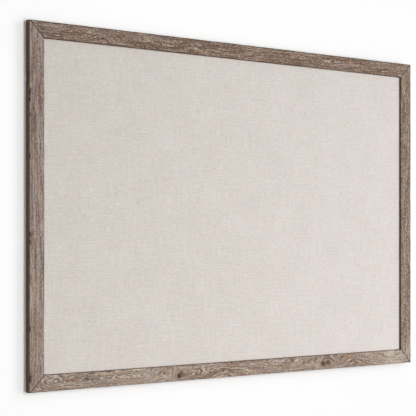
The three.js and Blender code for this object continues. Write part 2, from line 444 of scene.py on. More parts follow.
def oak_figure():
    """The figure of a weathered oak rail. Board is in millimetres along, across and into the rail."""
    tree, n, given, out = group(
        "oak_figure",
        {
            "Board": None,
            "Ring": 0.0,
            "Swirl": 0.0,
            "Knot": 0.0,
            "Chip": 0.0,
            "Shade": 0.0,
            "Seed": 0.0,
            "Face width": 0.0,
            "Half length": 0.0,
            "Wood": UNPAINTED,
            "Warm": UNPAINTED,
            "Grey": UNPAINTED,
            "Dark": paint(74, 57, 46),
            "Lime": paint(196, 183, 170),
            "Rust": paint(128, 84, 70),
            "Outer edge": paint(70, 55, 45),
            "Sight edge": paint(70, 55, 45),
            "Fleck length": 5.0,
            "Fleck rows": 2.2,
            "Streaks": 0.75,
            "Clouds": 0.05,
            "Ticks": 0.2,
            "Liming": 0.7,
            "Darkening": 0.75,
            "Rusting": 0.5,
            "Figure": 0.14,
            "Outer reach": 1.8,
            "Outer line": 0.6,
            "Sight reach": 1.8,
            "Sight line": 0.6,
            "Mitre light": 0.0,
            "Mitre dark": 0.75,
            "Drift": 0.0,
        },
    )
    # Unrolled runs from the face on over both its edges, so that the figure turns the corner
    seed = given["Seed"]
    along, across, depth = n.split(given["Board"])
    sign = n.math("SIGN", n.minus(across, n.times(given["Face width"], 0.5)))
    unrolled = n.times_plus(depth, sign, across)
    skin = n.join(along, unrolled, seed)
    other = n.join(along, unrolled, n.plus(seed, 5.3))

    # Flecks and streaks change from ring to ring and so follow them round the knots
    ring = n.swing(n.swells(skin, (6, 2.6)), 0.9, given["Ring"])
    level = n.plus(n.times(ring, given["Fleck rows"]), seed)
    reach = given["Fleck length"]
    flecks = n.noise(n.join(n.over(along, reach), n.over(unrolled, n.times(reach, 1.1)), level), 3.0, 0.68)
    streak = n.noise(n.join(n.over(along, 60.0), n.over(unrolled, 12.0), level), 2.0)
    tone = n.swing(streak, given["Streaks"], flecks)
    tone = n.swing(n.swells(skin, (40, 14)), given["Clouds"], tone)

    # Near a knot the rings themselves show, but not everywhere
    whole = n.between(n.swells(other, (12, 6), 1.0), 0.36, 0.60)
    swirl = n.times(n.times_plus(given["Swirl"], 0.8, 0.2), whole)
    band = n.sine(n.times(ring, 2 * math.pi))
    tone = n.times_plus(band, n.times(given["Figure"], swirl), tone)
    light = n.between(tone, 0.52, 0.68)
    dark = n.between(tone, 0.48, 0.32)

    # Marks and stains of their own sizes, in millimetres along and across
    pores = n.between(n.swells(skin, (3.5, 0.32)), 0.56, 0.70)
    fibre = n.swells(skin, (30, 0.8), 3.0, 0.6)
    ticks = n.between(n.swells(other, (1.7, 5), 1.0), 0.56, 0.68)
    ticked = n.between(n.swells(other, (34, 12), 1.0), 0.42, 0.58)
    ticks = n.times(n.times(ticks, ticked), given["Ticks"])
    patch = n.swells(other, (38, 10))
    warmth = n.swells(skin, (50, 9))
    rust = n.between(n.swells(other, (17, 6)), 0.56, 0.70)

    # A knot's ragged heart, a line along both edges that is partly wear and partly painted light, and the
    # two lines at the mitre
    burl = n.swing(flecks, 1.2, given["Knot"])
    ragged = n.times_plus(n.swells(skin, (9, 4)), 1.8, -0.9)
    lines = []
    for place, side in ((0.0, "Outer"), (given["Face width"], "Sight")):
        reach = n.plus(n.absolute(n.minus(unrolled, place)), ragged)
        lines.append(n.times(n.between(reach, given[side + " reach"], 0.4), given[side + " line"]))
    inset = n.minus(n.minus(given["Half length"], across), n.absolute(along))
    mitre = n.times(inset, math.sqrt(0.5))
    strip = n.times(n.between(mitre, 4.2, 3.2), n.between(mitre, 1.5, 2.1))

    colour = given["Wood"]
    layers = (
        (n.between(patch, 0.40, 0.62), given["Grey"]),
        (n.between(warmth, 0.44, 0.64), given["Warm"]),
        (n.times(rust, given["Rusting"]), given["Rust"]),
        (n.larger(given["Shade"], 0.0), given["Lime"]),
        (n.larger(n.times(given["Shade"], -1.0), 0.0), given["Dark"]),
        (n.between(fibre, 0.35, 0.65, 0.34, 0.0), given["Dark"]),
        (n.times(dark, given["Darkening"]), given["Dark"]),
        (n.times(light, given["Liming"]), given["Lime"]),
        (n.times(pores, 0.5), given["Dark"]),
        (ticks, given["Dark"]),
        (n.between(burl, 0.12, 0.5, 0.0, 0.35), given["Rust"]),
        (n.between(burl, 0.4, 0.9, 0.0, 0.9), paint(52, 41, 33)),
        # Edge lines: the dark line at the sight edge is painted shade under the lip, a pale outer line is a
        # painted highlight on the arris, and the rest is wear
        (lines[0], given["Outer edge"]),
        (lines[1], given["Sight edge"]),
        (n.times(given["Chip"], 0.9), given["Dark"]),
        (n.times(strip, given["Mitre light"]), given["Lime"]),
        (n.times(n.between(mitre, 1.8, 1.0), given["Mitre dark"]), given["Dark"]),
    )
    for share, stuff in layers:
        colour = n.mix(share, colour, stuff)
    drift = n.times_plus(n.over(along, given["Half length"]), given["Drift"], 1.0)
    colour = n.mix(1.0, colour, n.join(drift, drift, drift), "MULTIPLY")

    # Painted shade: the sides, the lip and its underside are darkened against the face, most towards the
    # back, where shade falls
    side_shade = n.mix(n.between(depth, 3.0, 10.5), paint(168, 150, 132), paint(132, 124, 114))
    side_shaded = n.mix(1.0, colour, side_shade, "MULTIPLY")
    n.feed(out["Color"], n.mix(n.between(depth, 0.4, 1.6), colour, side_shaded))

    relief = 0.6
    for mark, rise in ((light, 0.25), (dark, -0.35), (pores, -0.35), (fibre, 0.35), (ticks, -0.3)):
        relief = n.times_plus(mark, rise, relief)
    n.feed(out["Height"], relief)
    n.feed(out["Roughness"], n.times_plus(light, 0.12, n.between(fibre, 0.3, 0.7, 0.62, 0.78)))
    return tree


# How far apart the saw's marks lie, in millimetres
SAW_PITCH = 2.1


def raw_oak():
    """Bare, sawn oak for the back of a rail, its rabbet and its cut ends."""
    tree, n, given, out = group("raw_oak", {"Board": None, "Ring": 0.0, "Seed": 0.0})
    along, across, depth = n.split(given["Board"])
    spot = n.join(along, across, n.plus(depth, given["Seed"]))
    streaks = n.swells(spot, (40, 1.6, 1.6), 3.0, 0.6)
    pores = n.between(n.swells(spot, (5, 0.35, 0.35)), 0.58, 0.70)
    band = n.sine(n.times(given["Ring"], 2 * math.pi))
    tone = n.times_plus(band, 0.10, streaks)
    saw = n.sine(n.times_plus(streaks, 3.0, n.times(along, 2 * math.pi / SAW_PITCH)))
    pore = paint(112, 82, 56)
    colour = n.mix(n.between(tone, 0.32, 0.68), paint(150, 118, 84), paint(196, 166, 128))
    colour = n.mix(n.times(pores, 0.5), colour, pore)
    colour = n.mix(n.between(saw, -1.0, 1.0, 0.10, 0.0), colour, pore)
    # Stain from the side, brushed over the edge by hand
    brushed = n.times_plus(n.swells(spot, (14, 5, 5), 3.0, 0.6), -9.0, across)
    colour = n.mix(n.between(brushed, 3.0, 0.5, 0.0, 0.9), colour, paint(84, 74, 66))
    n.feed(out["Color"], colour)
    relief = n.times_plus(saw, 0.12, n.times_plus(pores, -0.4, 0.6))
    n.feed(out["Height"], n.times_plus(streaks, 0.4, relief))
    n.feed(out["Roughness"], n.between(streaks, 0.3, 0.7, 0.74, 0.88))
    return tree


def speckle():
    """Fine and coarse mottling for pressed, cast and plated stuff, sized in metres by Size."""
    tree, n, given, out = group(
        "speckle",
        {
            "Place": None,
            "Size": 0.0,
            "First": UNPAINTED,
            "Second": UNPAINTED,
            "Fleck": UNPAINTED,
            "Flecks": 0.0,
            "Smooth": 0.0,
            "Rough": 0.0,
        },
    )
    spot = n.scaled(given["Place"], n.over(1.0, given["Size"]))
    broad = n.noise(n.scaled(spot, 0.12), 3.0, 0.6)
    fine = n.noise(spot, 3.0, 0.65)
    fleck = n.between(n.noise(n.scaled(spot, 0.8), 1.0), 0.60, 0.70)
    colour = n.mix(n.between(n.plus(broad, fine), 0.75, 1.25), given["First"], given["Second"])
    colour = n.mix(n.times(fleck, given["Flecks"]), colour, given["Fleck"])
    n.feed(out["Color"], colour)
    n.feed(out["Height"], n.times_plus(fleck, -0.3, fine))
    n.feed(out["Roughness"], n.between(fine, 0.3, 0.7, given["Smooth"], given["Rough"]))
    return tree


def linen_weave():
    """Plain-weave linen with slubs. Cloth is in millimetres over the flat cloth."""
    tree, n, given, out = group(
        "linen_weave",
        {
            "Cloth": None,
            "Pitch": 0.85,
            "Deep": paint(206, 198, 191),
            "Pale": paint(239, 232, 229),
            "Warm": paint(226, 218, 202),
            # Painted light: how much the cloth brightens per metre upwards and to the right, and how much
            # bluer it gets per metre to the right
            "Fade": 0.0,
            "Lighter": 0.0,
            "Cooler": 0.0,
        },
    )
    cloth = given["Cloth"]
    sway_s = n.swells(cloth, (4, 30), 1.0)
    sway_t = n.swells(cloth, (30, 4), 1.0)
    s, t, _ = n.split(cloth)
    s = n.times_plus(sway_s, 1.2, s)
    t = n.times_plus(sway_t, 1.2, t)
    turn = n.over(math.pi, given["Pitch"])
    warp = n.sine(n.times(s, turn))
    weft = n.sine(n.times(t, turn))
    crossing = n.times(warp, weft)
    warp_round = n.absolute(warp)
    weft_round = n.absolute(weft)
    warp_top = n.times(warp_round, n.times_plus(weft_round, 0.4, 0.6))
    weft_top = n.times(weft_round, n.times_plus(warp_round, 0.4, 0.6))
    warp_over = n.between(crossing, -0.1, 0.1)
    weave = n.add("Mix", {0: warp_over, 2: weft_top, 3: warp_top}).outputs[0]

    threads = (
        (9.5, 2.1, 0.58),
        (2.1, 6.5, 0.26),
        (64.0, 2.0, 0.36),
        (2.2, 52.0, 0.32),
        (70.0, 70.0, 0.20),
    )
    tone = 0.5
    for long, high, share in threads:
        tone = n.swing(n.swells(cloth, (long, high), 1.5), share, tone)
    warp_slub = n.between(n.swells(cloth, (2.6, 20), 1.0), 0.60, 0.72)
    weft_slub = n.between(n.swells(cloth, (20, 2.6), 1.0), 0.60, 0.72)
    tone = n.times_plus(warp_slub, -0.10, tone)
    tone = n.times_plus(weft_slub, 0.14, tone)
    colour = n.mix(n.between(tone, 0.0, 1.0), given["Deep"], given["Pale"])
    heather = n.plus(n.swells(cloth, (56, 5), 1.5), n.swells(cloth, (5, 44), 1.5))
    colour = n.mix(n.between(heather, 0.95, 1.25, 0.0, 0.3), colour, given["Warm"])
    gaps = n.between(weave, 0.0, 0.45, 0.22, 0.0)
    colour = n.mix(gaps, colour, paint(150, 138, 126))
    # Painted light: the lamps' fall-off is painted into the cloth, darker towards the top and brighter and
    # bluer towards the right
    painted_light = n.times_plus(t, n.times(given["Fade"], MM), 1.0)
    painted_light = n.times_plus(s, n.times(given["Lighter"], MM), painted_light)
    painted_blue = n.times_plus(s, n.times(given["Cooler"], MM), painted_light)
    n.feed(out["Color"], n.mix(1.0, colour, n.join(painted_light, painted_light, painted_blue), "MULTIPLY"))
    slubs = n.plus(warp_slub, weft_slub)
    n.feed(out["Height"], n.times_plus(slubs, 0.5, weave))
    n.feed(out["Roughness"], n.between(weave, 0.0, 1.0, 0.95, 0.82))
    return tree


OAK_FIGURE = oak_figure()
RAW_OAK = raw_oak()
SPECKLE = speckle()
LINEN_WEAVE = linen_weave()
OAK_RELIEF = 0.35 * MM
BARE_RELIEF = 0.2 * MM
WEAVE_RELIEF = 0.18 * MM


def finished_oak(name, half_length, **values):
    made, n, shader = material(name, specular=0.25)
    figure = use(
        n,
        OAK_FIGURE,
        Board=own(n, "board", "Vector"),
        Ring=own(n, "ring"),
        Swirl=own(n, "swirl"),
        Knot=own(n, "knot"),
        Chip=own(n, "chip"),
        Shade=own(n, "shade"),
        Face_width=FACE / MM,
        Half_length=half_length / MM,
        **values,
    )
    finish(n, shader, figure, OAK_RELIEF, 0.8)
    return made


def bare_oak(name, seed):
    made, n, shader = material(name, specular=0.25)
    figure = use(n, RAW_OAK, Board=own(n, "board", "Vector"), Ring=own(n, "ring"), Seed=seed)
    finish(n, shader, figure, BARE_RELIEF, 0.8)
    return made


def linen_cloth():
    made, n, shader = material("linen", specular=0.15)
    # The cloth carries painted light, darker towards the top and brighter and bluer towards the right
    weave = use(n, LINEN_WEAVE, Cloth=own(n, "cloth", "Vector"), Fade=-0.13, Lighter=0.045, Cooler=0.03)
    finish(n, shader, weave, WEAVE_RELIEF, 0.7)
    return made


def mottled(name, colours, size, flecks, roughness, relief, **settings):
    """A material from the speckle group, with its roughness following the grain."""
    made, n, shader = material(name, **settings)
    values = {"Place": object_place(n), "Size": size, "Flecks": flecks}
    values.update(zip(("First", "Second", "Fleck"), (paint(*colour) for colour in colours)))
    values.update(zip(("Smooth", "Rough"), roughness))
    finish(n, shader, use(n, SPECKLE, **values), relief, 0.6)
    return made


LINEN = linen_cloth()
CORK = mottled(
    "cork", ((166, 122, 78), (206, 164, 114), (96, 64, 40)),
    size=1.4 * MM, flecks=0.8, roughness=(0.80, 0.95), relief=0.25 * MM, specular=0.2,
)
HARDBOARD = mottled(
    "hardboard", ((112, 80, 54), (134, 98, 68), (86, 60, 42)),
    size=0.5 * MM, flecks=0.5, roughness=(0.52, 0.74), relief=0.05 * MM, specular=0.35,
)
SPRING_STEEL = mottled(
    "spring_steel", ((118, 120, 124), (160, 162, 165), (84, 82, 82)),
    size=0.35 * MM, flecks=0.5, roughness=(0.30, 0.48), relief=0.02 * MM, metallic=1.0,
)
NICKEL = mottled(
    "nickel_plate", ((184, 184, 182), (206, 206, 204), (150, 148, 146)),
    size=0.4 * MM, flecks=0.3, roughness=(0.16, 0.30), relief=0.01 * MM, metallic=1.0,
)
RUBBER = mottled(
    "bumper_rubber", ((40, 39, 38), (58, 57, 55), (74, 72, 70)),
    size=0.3 * MM, flecks=0.35, roughness=(0.68, 0.86), relief=0.04 * MM, specular=0.3,
)


# The four rails

# Each rail is made lying along the top and turned about Y into its place
RAIL_TURNS = {
    "top_rail": 0.0,
    "right_stile": math.pi / 2,
    "bottom_rail": math.pi,
    "left_stile": -math.pi / 2,
}

# Knots: how far along the rail from its middle and in from its outer edge, how far their rings reach
# back, ahead and across, and how many rings they hold
BOTTOM_KNOTS = (
    (415, 12, 30, 26, 12, 3.0),
    (350, 17, 34, 40, 11, 3.0),
    (232, 14, 24, 95, 9, 6.5),
    (146, 10, 58, 16, 11, 7.0),
    (20, 16, 60, 60, 10, -1.5),
    (-110, 17, 46, 55, 9, 3.0),
    (-218, 12, 40, 24, 11, 6.0),
    (-300, 14, 40, 30, 12, -2.5),
    (-400, 12, 60, 40, 14, 2.5),
)
TOP_KNOTS = (
    (-311, 18, 16, 16, 7, 2.5),
    (-170, 22, 30, 30, 10, -2.0),
    (60, 9, 26, 26, 9, 2.0),
    (236, 16, 34, 34, 9, -2.5),
    (385, 15, 22, 22, 10, 2.5),
)
LEFT_KNOTS = (
    (60, 20, 60, 60, 9, 1.5),
    (-170, 6, 70, 70, 8, -1.5),
)
RIGHT_KNOTS = (
    (-215, 12, 26, 26, 9, 2.0),
    (40, 16, 50, 50, 8, -1.5),
    (190, 10, 40, 40, 8, 1.5),
)

# Dark hearts and marks: how far along and in, how far they reach along and across, and how dark they are
BOTTOM_MARKS = (
    (146.5, 9.5, 4.6, 5.0, 1.3),
    (142, 15.5, 4.0, 3.4, 0.85),
    (127, 14, 2.6, 3.0, 0.6),
    (366, 17, 9, 4, 0.5),
    (-208, 11, 11, 8.5, 0.85),
    (-221, 13.5, 10, 8, 0.80),
    (-243, 13, 2.6, 4.5, 0.5),
    (-290, 12, 12, 3.4, 0.55),
    (-426, 26.5, 4, 1.6, 1.0),
)
TOP_MARKS = (
    (-311, 18, 4.5, 2.6, 0.9),
    (60, 9, 8, 2.2, 0.5),
    (385, 15, 6, 2.4, 0.6),
)
LEFT_MARKS = (
    (190, 9.5, 3.4, 1.4, 0.8),
    (112, 12, 4.0, 1.4, 0.75),
    (-120, 11, 4.0, 1.5, 0.8),
)
RIGHT_MARKS = ((-215, 12, 5, 2.2, 0.6),)

# Paler and darker patches: how far along and in, how far they reach along and across, and how much
# lime (more than 0) or stain (less than 0) they hold
BOTTOM_PATCHES = (
    (-412, 15, 45, 20, 0.77),
    (-178, 15, 30, 13, 0.35),
    (255, 15, 32, 14, 0.30),
    (-100, 5, 60, 6, 0.17),
    (188, 15, 34, 12, 0.35),
    (420, 4, 40, 9, -0.28),
    (355, 24, 30, 8, -0.25),
    (85, 10, 42, 14, -0.25),
    (0, 25, 30, 6, -0.21),
    (-228, 13, 12, 8, -0.25),
    (-295, 9, 32, 12, -0.22),
)
TOP_PATCHES = (
    (-413, 5, 40, 8, -0.21),
    (-230, 24, 32, 7, -0.22),
    (-190, 9, 42, 8, 0.14),
    (-75, 5, 60, 8, -0.22),
    (-60, 25, 30, 6, 0.14),
    (120, 24, 55, 7, -0.25),
    (40, 10, 50, 14, -0.11),
    (150, 6, 60, 9, 0.17),
    (288, 5, 36, 8, -0.20),
    (305, 25, 14, 6, 0.31),
    (432, 9, 24, 12, 0.16),
)
LEFT_PATCHES = (
    (220, 4, 90, 7, -0.16),
    (250, 16, 50, 9, -0.08),
    (140, 6, 30, 8, -0.20),
    (-42, 4, 20, 6, -0.25),
    (-150, 4, 20, 6, 0.28),
    (-90, 25, 190, 8, 0.22),
)
RIGHT_PATCHES = (
    (287, 8, 24, 15, 0.77),
    (165, 21, 55, 10, 0.28),
    (150, 4, 20, 7, -0.31),
    (70, 5, 40, 7, 0.17),
    (38, 24, 36, 8, -0.25),
    (-50, 25, 30, 6, 0.21),
    (-90, 4, 24, 7, -0.31),
    (-195, 23, 40, 9, -0.28),
)

# Chips out of the front outer arris: how far along the rail, half their length, how wide and how deep
NO_CHIPS = ()
LEFT_CHIPS = (
    (187, 8, 4.2, 1.5),
    (175, 5, 3.4, 1.2),
    (150, 5, 1.6, 0.7),
    (82, 7, 2.2, 0.9),
    (-46, 6, 4.2, 1.5),
    (-59, 5, 3.2, 1.2),
    (-120, 12, 1.4, 0.6),
    (-200, 7, 1.8, 0.8),
    (-281, 9, 4.4, 1.6),
)

# How finely a rail is cut up along, over its face and over its sides; shorter end edges stay whole
GRAIN_STEP = 1.8 * MM
FACE_STEP = 0.55 * MM
SIDE_STEP = 1.0 * MM
SHORT_EDGE = 2 * MM

# Slots for steel: how far they clear it all round, how far a cutter runs past what it cuts, how near the
# back a piece has to end for its slot to be open there, and how near that end the moved points lie
SLOT_CLEARANCE = 0.05 * MM
OVERRUN = 2 * MM
AT_BACK = 0.5 * MM
AT_REAR = 0.2 * MM

# Wear of the arrises and sinking of a knot's heart, and how far short of the back and of the lip's
# hidden side all carving fades and stops, in millimetres
WEAR_WIDTH = 2.2
WEAR_DEPTH = 0.45
HEART_DEPTH = 0.35
BACK_FADE = 1.5
BACK_STOP = 1.2
LIP_FADE = 0.9
LIP_STOP = 0.3

# The waves of a rail's rings: how long and how wide they are, in millimetres, and how many rings they shift
RING_WAVES = ((85, 40, 6), (24, 9, 2.2), (9, 5, 0.8))

# The sight edge is planed back over its last millimetres, up to a little short of the mitres
TRIM_WIDTH = 4 * MM
TRIM_FLAT = 1 * MM
TRIM_TAPER = 14 * MM


def rail_blank(name, length, outer):
    """A mitred rail lying along X with its outer edge up, cut to strips fine enough to carry its grain."""
    half = length / 2
    piece = add_box(name, (-half, FRONT, outer - FACE), (half, LIP_BACK, outer))
    edit(piece)
    split_at((0, 0, outer - BACK_LAND), (0, 0, 1))
    pick("faces", lambda f: f.normal.y > 0.9 and middle(f).z > outer - BACK_LAND)
    push(y=BACK - LIP_BACK)
    eased = ((FRONT, outer, FRONT_EASE), (FRONT, outer - FACE, SIGHT_EASE), (BACK, outer, BACK_EASE))
    for y, z, size in eased:
        pick("edges", lambda e: run(e).x > half and on(middle(e).y, y) and on(middle(e).z, z))
        round_over(size, 3)
    strips = (
        (2, FACE_STEP, lambda m: on(m.y, FRONT)),
        (1, SIDE_STEP, lambda m: on(m.z, outer) or (on(m.z, outer - FACE) and m.y < LIP_BACK)),
    )
    for axis, step, place in strips:
        for size in sorted({round(s / MM, 2) for s in end_edges(half, axis, place)}):
            pick("edges", lambda e: in_strip(e, half, place) and round(run(e)[axis] / MM, 2) == size)
            bpy.ops.mesh.subdivide(number_cuts=max(1, round(size * MM / step) - 1))
    coarse = round(math.sqrt(length / GRAIN_STEP))
    fine = round(length / GRAIN_STEP / coarse)
    for cuts in (coarse, fine):
        pick("edges", lambda e: run(e).x > 2 * GRAIN_STEP and run(e).y < EXACT and run(e).z < EXACT)
        bpy.ops.mesh.subdivide(number_cuts=cuts - 1)
    for side in (1, -1):
        bpy.ops.mesh.select_mode(type="VERT")
        split_at((side * (half - MITRE_PULL), 0, outer), (side, 0, -1), use_fill=True, clear_outer=True)
    done()
    return piece


def in_strip(edge, half, place):
    """An edge at the rail's ends that a strip's test says yes to."""
    at_end = all(on(abs(v.co.x), half) for v in edge.verts) and run(edge).x < EXACT
    return at_end and place(middle(edge))


def end_edges(half, axis, place):
    """How long a strip's edges at the rail's ends are, without the short ones."""
    mesh = bmesh.from_edit_mesh(bpy.context.object.data)
    lengths = [run(e)[axis] for e in mesh.edges if in_strip(e, half, place)]
    return [length for length in lengths if length > SHORT_EDGE]


def grain_fields(piece, outer, seed, spacing, wave, knots, marks, patches, chips):
    """Writes where each point of a rail lies in its board, and returns those places and the rings."""
    spots = points_of(piece)
    along = spots[:, 0] / MM
    across = (outer - spots[:, 2]) / MM
    depth = (spots[:, 1] - FRONT) / MM
    face = FACE / MM
    unrolled = across + depth * np.sign(across - face / 2)
    ring = unrolled / spacing
    for more, (long, wide, rings) in enumerate(RING_WAVES):
        ring += wave * (cloudy(seed + more, along / long, unrolled / wide) - 0.5) * rings
    heart = np.zeros(len(along))
    swirl = np.zeros(len(along))
    for place, inward, back, ahead, spread, rings in knots:
        reach = np.where(along < place, back, ahead)
        far = ((along - place) / reach) ** 2 + ((unrolled - inward) / spread) ** 2
        ring += rings * np.exp(-far)
        swirl = np.maximum(swirl, np.exp(-0.6 * far))
    for place, inward, reach, spread, darkness in marks:
        wobble = 0.7 + 0.7 * cloudy(seed + 8, along / 3, unrolled / 3)
        far = (((along - place) / reach) ** 2 + ((unrolled - inward) / spread) ** 2) * wobble
        heart = np.maximum(heart, darkness * np.exp(-far))
    shade = np.zeros(len(along))
    for place, inward, reach, spread, amount in patches:
        shade += amount * np.exp(-(((along - place) / reach) ** 2) - ((unrolled - inward) / spread) ** 2)
    chip = np.zeros(len(along))
    loss = np.zeros(len(along))
    for place, reach, width, deep in chips:
        ragged = 0.7 + 0.6 * cloudy(seed + 7, along / 2.5, unrolled / 2.5)
        shape = ease(1 - np.abs(along - place) / (reach * ragged), 0, 0.8)
        shape = shape * ease(1 - np.abs(unrolled) / (width * ragged), 0, 0.7)
        loss = np.maximum(loss, deep * shape)
        chip = np.maximum(chip, shape)
    write_values(piece, "board", np.stack([along, across, depth], 1))
    values = {"ring": ring, "swirl": swirl, "knot": heart, "chip": chip, "shade": shade}
    for name, value in values.items():
        write_values(piece, name, value)
    return along, unrolled, depth, ring, heart, loss


def carve_grain(piece, seed, relief, fields):
    """Sinks the skin of a rail: its grain, its worn arrises and its chips. Nothing grows outwards."""
    along, unrolled, depth, ring, heart, loss = fields
    face = FACE / MM
    wander = cloudy(seed + 3, along / 6, unrolled / 2.6) - 0.5
    flecks = cloudy(seed + 4, along / 8, 2.2 * (ring + wander))
    furrow = ease(flecks, 0.45, 0.1) + 0.4 * ease(np.sin(2 * math.pi * (ring + 0.5 * wander)), 0.1, 1.0)
    sunk = relief * (furrow + 0.5 * cloudy(seed + 5, along / 60, unrolled / 14))
    arris = np.minimum(np.abs(unrolled), np.abs(unrolled - face))
    worn = ease(cloudy(seed + 6, along / 21, unrolled / 9), 0.35, 0.85)
    wear = WEAR_DEPTH * ease(arris, WEAR_WIDTH, 0.0) * worn
    skin = ease(depth, (BACK - FRONT - BACK_EASE) / MM, (BACK - FRONT - BACK_EASE) / MM - BACK_FADE)
    hidden = (unrolled > face) * ease(depth, LIP / MM - LIP_FADE, LIP / MM - LIP_STOP)
    sink = (sunk + wear + loss + HEART_DEPTH * ease(heart, 0.5, 0.9)) * skin * (1 - np.minimum(hidden, 1))
    inside = (unrolled > face + LIP / MM - LIP_STOP) | (depth > (BACK - FRONT) / MM - BACK_STOP)
    sink = np.where(inside, 0, sink)
    normals = np.zeros(len(along) * 3)
    piece.data.vertices.foreach_get("normal", normals)
    normals = normals.reshape(-1, 3)
    normals[:, 0] = 0
    normals /= np.maximum(np.linalg.norm(normals, axis=1, keepdims=True), 0.3)
    spots = points_of(piece)
    place_points(piece, spots - normals * sink[:, None] * MM)


def trim_sight(piece, half, outer, trim):
    """Planes a rail's sight edge back a little, but not at its mitres."""
    spots = points_of(piece)
    across = outer - spots[:, 2]
    from_mitre = half - np.abs(spots[:, 0]) - across
    share = ease(across, FACE - TRIM_WIDTH, FACE - TRIM_FLAT) * ease(from_mitre, 0, TRIM_TAPER)
    spots[:, 2] += trim * MM * share
    place_points(piece, spots)


def mark_bare(piece):
    """Gives the back, the rabbet and the mitred ends of a rail its second material."""
    mesh = bmesh.new()
    mesh.from_mesh(piece.data)
    mesh.normal_update()
    for face in mesh.faces:
        spot = middle(face)
        at_back = face.normal.y > 0.7
        in_rabbet = face.normal.z < -0.7 and spot.y > LIP_BACK
        at_mitre = abs(face.normal.x) > 0.6
        face.material_index = int(at_back or in_rabbet or at_mitre)
    mesh.to_mesh(piece.data)
    mesh.free()


def slot_cutter(nodes, turn_back):
    """Copies of steel pieces, a little grown and open towards the back, for cutting their slots."""
    cutters = []
    for node in nodes:
        cutter = copy_of(frame["nodes"][node], "slot_of_" + node)
        cutter.parent = None
        tidy_mesh(cutter)
        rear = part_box(node)[1].y
        if rear > BACK - AT_BACK:
            edit(cutter)
            pick("verts", lambda v: v.co.y > rear - AT_REAR)
            bpy.ops.transform.translate(value=(0, OVERRUN, 0))
            done()
        apply_modifier(cutter, "DISPLACE", strength=SLOT_CLEARANCE, mid_level=0)
        cutter.matrix_world = Matrix.Rotation(-turn_back, 4, "Y")
        settle(cutter)
        cutters.append(cutter)
    return join_pieces("slots", cutters)


def steel_in(rail):
    """The CAD nodes whose steel goes into a rail: its framer's points and the V nails at its ends."""
    side = rail.split("_")[0]
    corners = [n for n in frame["nodes"] if n.startswith("v_nail") and f"_{side}_" in n]
    return points_in(rail) + corners


def make_rail(name, seed, features, figure, **values):
    """One rail. Its figure is how far apart its rings lie, how much they wave, how deep they are carved
    and how far its sight edge is planed back."""
    spacing, wave, relief, trim = figure
    length, outer = (WIDTH, HEIGHT / 2) if name.endswith("rail") else (HEIGHT, WIDTH / 2)
    turn = RAIL_TURNS[name]
    piece = rail_blank(name + "_oak", length, outer)
    cut(piece, slot_cutter(steel_in(name), turn), solver="MANIFOLD")
    fields = grain_fields(piece, outer, seed, spacing, wave, *features)
    dress(piece, finished_oak(name, length / 2, Seed=seed, **values), bare_oak(name + "_bare", seed))
    mark_bare(piece)
    carve_grain(piece, seed, relief, fields)
    trim_sight(piece, length / 2, outer, trim)
    piece.rotation_euler = (0, turn, 0)
    settle(piece)
    smooth(piece, 40)
    seat(piece, "board", "timber", name)


# Grain that both stiles share
STILE_GRAIN = {"Fleck_length": 4.0, "Fleck_rows": 1.4, "Rusting": 0.4}


def make_frame():
    """Each rail from its seed, its knots to chips, its figure and the values of its finish."""
    make_rail(
        "top_rail", 11, (TOP_KNOTS, TOP_MARKS, TOP_PATCHES, NO_CHIPS), (3.4, 0.7, 0.16, 0.7),
        Wood=paint(130, 106, 92),
        Warm=paint(130, 105, 83),
        Grey=paint(134, 116, 107),
        Lime=paint(192, 174, 158),
        Streaks=0.80,
        Liming=0.91,
        Darkening=0.82,
        Rusting=0.6,
        Outer_reach=2.9,
        Mitre_dark=0.55,
        Outer_line=0.9,
    )
    make_rail(
        "right_stile", 23, (RIGHT_KNOTS, RIGHT_MARKS, RIGHT_PATCHES, NO_CHIPS), (3.2, 0.5, 0.12, 0),
        Wood=paint(148, 126, 109),
        Warm=paint(148, 126, 99),
        Grey=paint(148, 133, 124),
        Outer_edge=paint(112, 92, 66),
        Outer_reach=4.5,
        Streaks=0.5,
        Ticks=0.8,
        Sight_line=0.2,
        Liming=0.80,
        Darkening=0.95,
        Mitre_dark=0.45,
        **STILE_GRAIN,
    )
    make_rail(
        "bottom_rail", 37, (BOTTOM_KNOTS, BOTTOM_MARKS, BOTTOM_PATCHES, NO_CHIPS), (5.0, 0.6, 0.16, 0.6),
        Wood=paint(165, 143, 127),
        Warm=paint(167, 143, 118),
        Grey=paint(168, 153, 145),
        Lime=paint(206, 192, 178),
        Dark=paint(84, 66, 54),
        Fleck_length=5.5,
        Fleck_rows=2.7,
        Liming=0.90,
        Darkening=0.70,
        Outer_line=0.3,
        Figure=0.20,
        Mitre_dark=0.6,
    )
    make_rail(
        "left_stile", 53, (LEFT_KNOTS, LEFT_MARKS, LEFT_PATCHES, LEFT_CHIPS), (3.2, 0.4, 0.12, 0.6),
        Wood=paint(161, 140, 129),
        Warm=paint(159, 140, 122),
        Grey=paint(162, 147, 141),
        # A painted highlight along the outer arris and painted shade along the sight edge
        Outer_edge=paint(184, 168, 154),
        Sight_edge=paint(112, 78, 66),
        Outer_line=0.75,
        Streaks=1.0,
        Ticks=0.45,
        Liming=0.56,
        Darkening=0.7,
        Mitre_light=0.3,
        Drift=-0.03,
        **STILE_GRAIN,
    )


# The linen, wrapped round the panel

CLOTH_STEP = 4.6 * MM
CLOTH_BEND = 0.7 * MM
SWELL_LONG = 90 * MM
SWELL_HIGH = 70 * MM
SWELL_RISE = 5 * MM
FOLD_RISE = 0.35 * MM
FOLD_HALF = 2.5 * MM
FOLD_START = 1.5 * MM
FOLD_FULL = 4 * MM
FRAY = 1.6 * MM
FRAY_WAVE = 16 * MM

# The seeds of the cloth's swells and of its fray, and how far into their noise each starts
SWELL_SEED, SWELL_START = 71, 20
FRAY_SEED, FRAY_START = 72, 40


